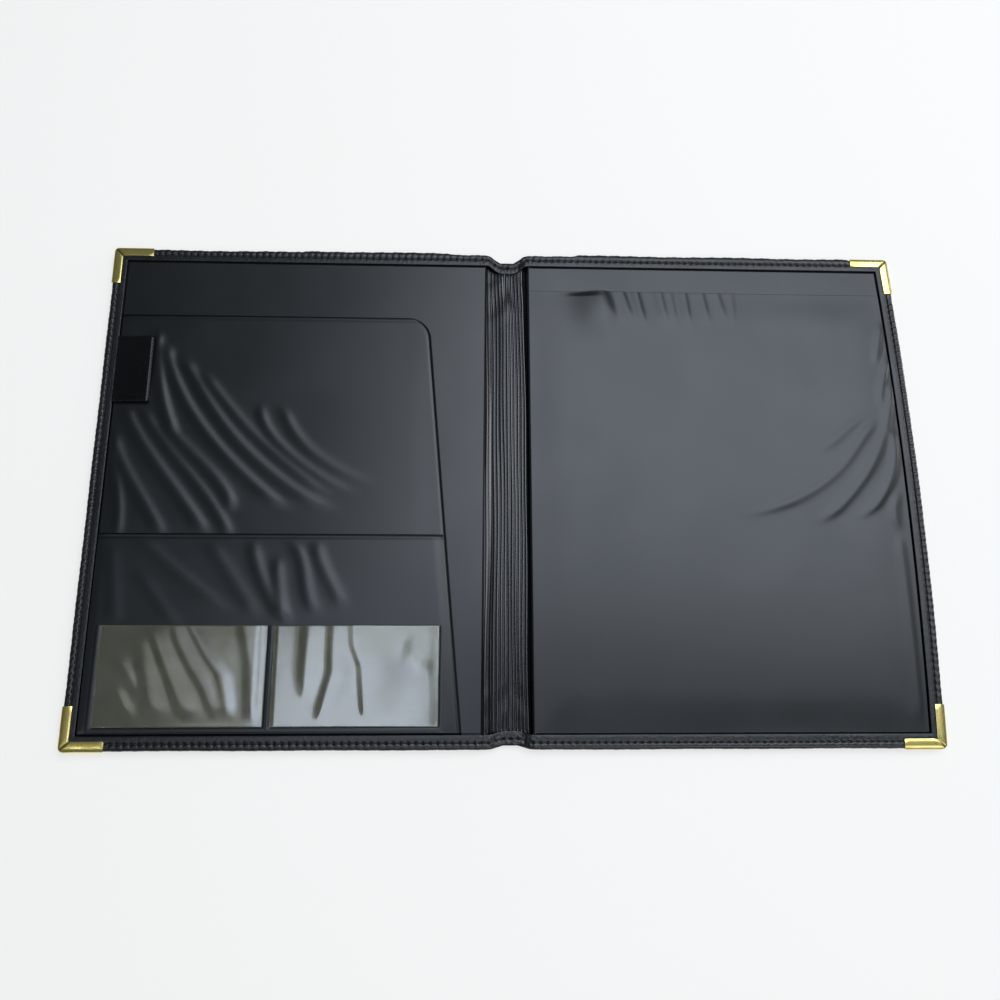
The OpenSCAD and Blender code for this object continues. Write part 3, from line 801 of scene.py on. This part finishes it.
def window_frame(name, span):
    """The pressed weld round three sides of a window: a flat bead carried along a square U, mitred."""
    out = np.array([3.0, 3.0, 2.6, 1.9, 1.1, 0.5, 0.1, 0.1])[:, None]
    z = Z_LOWER + np.array([-0.2, 0.12, 0.3, 0.36, 0.36, 0.28, 0.1, -0.2])[:, None]
    low, high = span
    t = np.linspace(0, 1, 40)
    across = high + out + (low - high - 2 * out) * t
    down = CARD_TOP + (CARD_FOOT - out - CARD_TOP) * t
    x = np.concatenate([high + out + 0 * t, across, low - out + 0 * t], 1)
    y = np.concatenate([down, CARD_FOOT - out + 0 * t, down[:, ::-1]], 1)
    return piece(name, -1, [(stack(x, y, z), False)], LINING, merge=0.01, sharp=50)


def pen_loop():
    """A strip of leatherette sewn flat at the hem and folded back on itself: one line, extruded.

    The line is the strip's outer face: a slope down from the bend, the half-round bend, and a flat underside.
    """
    r = 1.15
    rise = np.arctan2(2 * r - 1.3, LOOP_OUT - LOOP_IN - 4)
    turn = np.linspace(np.pi / 2 + rise, -np.pi / 2, 19)
    nose_x, nose_z = LOOP_IN + r, Z_DOC + 0.05 + r
    bend_x, bend_z = nose_x - r * np.cos(turn), nose_z + r * np.sin(turn)
    seam_x = np.linspace(LOOP_OUT, LOOP_OUT - 2, 4)
    top_x = np.concatenate([seam_x, np.linspace(LOOP_OUT - 2.6, bend_x[0], 20)[:-1]])
    slope = (bend_z[0] - Z_DOC - 1.4) / (LOOP_OUT - 2 - bend_x[0])
    top_z = Z_DOC + 1.4 + slope * np.maximum(LOOP_OUT - 2 - top_x, 0)
    x = np.concatenate([top_x, bend_x, np.linspace(nose_x, LOOP_OUT, 12)[1:]])
    z = np.concatenate([top_z, bend_z, np.full(11, Z_DOC + 0.05)])
    y = np.linspace(LOOP_FOOT, LOOP_TOP, 40)[:, None]
    sag = 0.15 * (np.sin(y / 7 + x / 9) - 1) * ease(Z_DOC + 2, Z_DOC + 5, z)
    return piece("pen_loop_strip", -1, [(stack(x, y, z + sag), False)], LOOP_STRIP, thick=LOOP_T)


# Stitching and corners


def spindles(x, y, z, along_y):
    """Stitches as spindles: rings of six points that narrow to nothing at both ends and bend down there."""
    t = np.linspace(-1, 1, 7)[None, :, None]
    turn = np.radians(np.arange(0, 361, 60))[None, None, :]
    thick = 0.32 * np.sqrt(np.maximum(1.02 - t ** 2, 0.01))
    run = 1.75 * t + 0 * turn
    wide = thick * np.cos(turn)
    up = 0.75 * thick * np.sin(turn) - 0.35 * t ** 4
    along = along_y[:, None, None]
    px = x[:, None, None] + np.where(along, wide, run)
    py = y[:, None, None] + np.where(along, run, -wide)
    return np.stack([px, py, z[:, None, None] + up], -1)


def stitching(side):
    """The seam of one cover and half the spine: one stitch between each two holes, on top and underneath.

    Stitches lie flush with the hem along the top and bottom edges, and sunk in the groove on the side.
    """
    x = np.arange(0.5 * STITCH, X_OUT - BRASS_LEG - 2, STITCH)
    y = HALF_H * (1 - 2 * (np.arange(SIDE_STITCHES) + 0.5) / SIDE_STITCHES)
    y = y[np.abs(y) < HALF_H - BRASS_LEG - 2]
    flush = hem_height(x) - 0.31
    px = np.concatenate([x, x, np.full(len(y), X_OUT - SEAM)])
    py = np.concatenate([edge_height(x) - SEAM, SEAM - edge_height(x, -1), y])
    pz = np.concatenate([flush, flush, np.full(len(y), Z_HEM - 0.55)])
    along = np.concatenate([np.zeros(2 * len(x), bool), np.ones(len(y), bool)])
    upper = spindles(px, py, pz, along)
    lower = spindles(px, py, np.full(len(px), Z_EDGE + 0.12), along)
    grids = [(g, False) for g in np.concatenate([upper, lower])]
    return piece(f"{COVER[side]}_seam_thread", side, grids, THREAD, merge=0.001)


def corner_cap(side, end):
    """A stamped corner cap: one section carried round the corner along both legs.

    Domed flaps lie on the hem, a wall goes round the edge, and a three-sided plate lies underneath,
    which narrows as the inset grows. A groove runs along the mitre and is painted dark, as painted shade,
    and the inner corner of each end is pressed down. The first and last lines of points close the ends onto
    the skin. The two caps at the bottom are pressed a little flatter at their edge.
    """
    # Inset from the edge, height of the outer face, and height of the closed end
    inset, z, z_in = np.array([
        (5.5, 6.12, 6.1), (5.58, 6.5, 6.1), (5.45, 6.8, 6.1), (5.1, 6.92, 6.1), (4.2, 6.98, 6.1),
        (3.2, 7.0, 6.1), (2.0, 6.98, 6.1), (0.9, 6.9, 6.0), (0.2, 6.62, 5.8), (-0.3, 6.15, 5.5),
        (-0.55, 5.4, 5.0), (-0.65, 4.4, 4.3), (-0.65, 3.5, 3.6), (-0.5, 2.5, 2.9), (-0.2, 1.9, 2.4),
        (0.3, 1.5, 2.1), (1.0, 1.36, 2.0), (2.0, 1.34, 2.0), (3.0, 1.34, 2.0), (6.0, 1.34, 2.0),
        (9.0, 1.34, 2.0), (12.0, 1.34, 2.0), (13.9, 1.34, 2.0),
    ]).T[:, :, None]
    r = np.maximum(CORNER_R - inset, 0.03)
    start = inset + r
    slanted = BRASS_LEG - 0.35 * np.clip(7 - z, 0, 5)
    stop = np.where(z < 2, np.minimum(slanted, BRASS_LEG + 3 - inset), slanted)
    t = np.concatenate([[0.0, 0.018], np.linspace(0.06, 0.88, 16), [0.92, 0.96, 0.985, 1.0]])
    leg = start + (stop - start) * t
    turn = np.radians(np.linspace(0, 90, ARC_STEPS + 2)[1:-1])
    arc_a, arc_n = start - r * np.sin(turn), inset + r - r * np.cos(turn)
    across = np.concatenate([leg[:, ::-1], arc_a, inset + 0 * t], 1)
    down = np.concatenate([inset + 0 * t, arc_n, leg], 1)
    mitre = bell((across - down) / np.sqrt(2), 0.42) * (z > 6.7)
    from_end = BRASS_LEG - np.maximum(across, down) + FLAP_W - inset
    level = z - 0.3 * mitre - 0.45 * np.clip(1 - from_end / 2.6, 0, 1) * (z > 6.4)
    level = level - 0.1 * (end < 0) * ease(3.4, 0.9, inset) * (z > 6.6)
    tuck = np.where(inset < 0.3, 0.7, 0.0)
    first = stack(across[:, :1] + 0 * tuck, down[:, :1] + tuck, z_in)
    last = stack(across[:, -1:] + tuck, down[:, -1:], z_in)
    body = np.concatenate([first, stack(across, down, level), last], 1)
    x, y = X_OUT - body[..., 0], end * (HALF_H - body[..., 1])
    grids = [(stack(x, y, body[..., 2]), end < 0)]
    # Painted shade: the mitre is marked to be painted dark.
    mitre_shade = np.pad(mitre, ((0, 0), (1, 1)))
    name = f"{COVER[side]}_{END[end]}_corner_cap"
    return piece(name, side, grids, GILT, sharp=38, rim=mitre_shade)


for side, cover in COVER.items():
    body = f"{cover}_cover"

    pad = foam_pad(side)
    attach(pad, body)
    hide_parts(f"{cover}_foam")

    shell = skin(side)
    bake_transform(shell)
    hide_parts(f"{cover}_skin", "spine_skin")

    ribs = gusset(side)
    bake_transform(ribs)
    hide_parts("spine_gusset")

    liner = lining(side)
    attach(liner, body)
    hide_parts(f"{cover}_lining")

    seam = stitching(side)
    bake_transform(seam)
    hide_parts(f"{cover}_stitching", "spine_stitching")

    for end, where in END.items():
        cap = corner_cap(side, end)
        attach(cap, body)
        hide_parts(f"{cover}_corner_{where}")

    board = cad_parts[f"{cover}_board"].data
    board.materials.clear()
    board.materials.append(BOARD)

pad_panel = pad_pocket()
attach(pad_panel, "back_cover")
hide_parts("pad_pocket")

doc_panel = document_pocket()
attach(doc_panel, "front_cover")
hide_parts("document_pocket")

low_panel = lower_pocket()
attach(low_panel, "front_cover")
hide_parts("lower_pocket")

for where, span, ridges, lean, taper in (
    ("outer", CARD_OUTER, OUTER_RIDGES, 0.06, 0.0),
    ("inner", CARD_INNER, INNER_RIDGES, 0.05, 0.45),
):
    pane = card_window(f"{where}_card_film", span, ridges, lean, taper)
    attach(pane, "front_cover")
    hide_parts(f"card_window_{where}")
    rim = window_frame(f"{where}_card_weld", span)
    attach(rim, "front_cover")

loop = pen_loop()
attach(loop, "front_cover")
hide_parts("pen_loop")


# Stage, light and camera


def stage_floor():
    """A pale seamless floor: a wide level plane that keeps the shadows near the object and glows far away."""
    half_w, level = 4000, -0.05
    reach = np.linspace(-half_w, half_w, 3)
    grid = stack(reach[None, :], reach[:, None], level)
    made, tree, shader, place = material("matt_white_paper_floor", Roughness=0.85)
    fleck = node(tree, "TexNoise", {"Vector": (place, "Object"), "Scale": per_mm(600.0), "Detail": 2.0})
    ramp = shades(tree, (fleck, "Fac"), 0.3, 0.7, "#f8f6f1", "#f9f8f4")
    tree.links.new(ramp.outputs["Color"], shader.inputs["Base Color"])
    seen = node(tree, "LightPath")
    mirrored = node(tree, "Math", {
        0: (seen, "Is Glossy Ray"), 1: (seen, "Is Transmission Ray"),
    }, operation="MAXIMUM")
    shown = node(tree, "Math", {0: (seen, "Is Camera Ray"), 1: (mirrored, "Value")}, operation="MAXIMUM")
    away = node(tree, "VectorMath", {0: (place, "Object")}, operation="LENGTH")
    glow = node(tree, "MapRange", {
        "Value": (away, "Value"), "From Min": 0.9, "From Max": 3.0, "To Min": 0.66, "To Max": 1.0,
    })
    share = node(tree, "Math", {0: (shown, "Value"), 1: (glow, "Result")}, operation="MULTIPLY")
    paper = node(tree, "Emission", {"Color": linear("#fdfdfb"), "Strength": 1.0})
    both = node(tree, "MixShader", {"Fac": (share, "Value"), 1: (shader, "BSDF"), 2: (paper, "Emission")})
    tree.links.new(both.outputs["Shader"], tree.nodes["Material Output"].inputs["Surface"])
    mesh = bpy.data.meshes.new("floor")
    mesh.from_pydata(grid.reshape(-1, 3) * 0.001, [], quads(3, 3).tolist())
    mesh.materials.append(made)
    floor = bpy.data.objects.new("floor", mesh)
    bpy.context.scene.collection.objects.link(floor)


def softbox(name, place, aim, size, power, colour, spin=0.0):
    """A rectangular lamp at a place in metres, turned to face a point and spun about that line."""
    lamp = bpy.data.lights.new(name, "AREA")
    lamp.shape = "RECTANGLE"
    lamp.size, lamp.size_y = size
    lamp.energy = power
    lamp.color = linear(colour)[:3]
    made = bpy.data.objects.new(name, lamp)
    bpy.context.scene.collection.objects.link(made)
    back = np.array(place, float) - np.array(aim, float)
    back /= np.linalg.norm(back)
    right = np.cross((0.0, 1.0, 0.0), back)
    right /= np.linalg.norm(right)
    up = np.cross(back, right)
    turn = np.eye(4)
    wide = np.cos(spin) * right + np.sin(spin) * up
    turn[:3, :3] = np.stack([wide, np.cross(back, wide), back], 1)
    turn[:3, 3] = place
    made.matrix_world = Matrix(turn.tolist())


def studio_world():
    """An even pale surround, white where the camera looks past the floor."""
    world = bpy.data.worlds.new("studio")
    world.use_nodes = True
    tree = world.node_tree
    tree.nodes.clear()
    seen = node(tree, "LightPath")
    ramp = shades(tree, (seen, "Is Camera Ray"), 0.0, 1.0, "#62696b", "#fdfdfb")
    light = node(tree, "Background", {"Color": (ramp, "Color"), "Strength": 1.0})
    node(tree, "OutputWorld", {"Surface": (light, "Background")})
    bpy.context.scene.world = world


def photo_camera():
    """The camera, from a fit of the covers' corners.

    Its focal length is in pixels of the square picture. Pitch, from straight down, yaw and roll are in
    radians, and its place is in metres.
    """
    focal, width = 950.0, 1000.0
    pitch, yaw, roll = 0.2730, -0.1453, 0.1460
    place = (-0.02799, -0.16509, 0.56581)
    data = bpy.data.cameras.new("camera")
    data.sensor_width = 36.0
    data.lens = focal / width * data.sensor_width
    data.clip_start, data.clip_end = 0.01, 50.0
    made = bpy.data.objects.new("camera", data)
    bpy.context.scene.collection.objects.link(made)
    turn = Matrix.Rotation(yaw, 4, "Z") @ Matrix.Rotation(pitch, 4, "X") @ Matrix.Rotation(roll, 4, "Z")
    made.matrix_world = Matrix.Translation(place) @ turn
    bpy.context.scene.camera = made


stage_floor()
studio_world()
softbox("window_softbox", (0.57, 0.675, 1.5), (0.57, 0.675, 0.0), (1.46, 1.15), 20.5, "#e9f2ff",
        np.radians(-6))
softbox("card_softbox", (-0.25, -0.155, 1.5), (-0.25, -0.155, 0.0), (0.38, 0.57), 1.76, "#d9e5ff")
softbox("card_fill", (-0.535, 0.015, 1.5), (-0.535, 0.015, 0.0), (0.19, 0.26), 0.085, "#f2f4f6")
softbox("corner_softbox", (-0.87, -0.42, 1.5), (-0.87, -0.42, 0.0), (0.24, 0.2), 0.6, "#f4f3ee")
softbox("front_softbox", (0.6, -1.1, 1.5), (0.1, 0.0, 0.0), (1.5, 0.9), 11.5, "#eef3fb")
softbox("side_softbox", (2.0, 0.65, 0.5), (0.0, 0.1, 0.0), (1.8, 0.5), 13.0, "#ffffff")
photo_camera()
bpy.context.scene.view_settings.view_transform = "Standard"
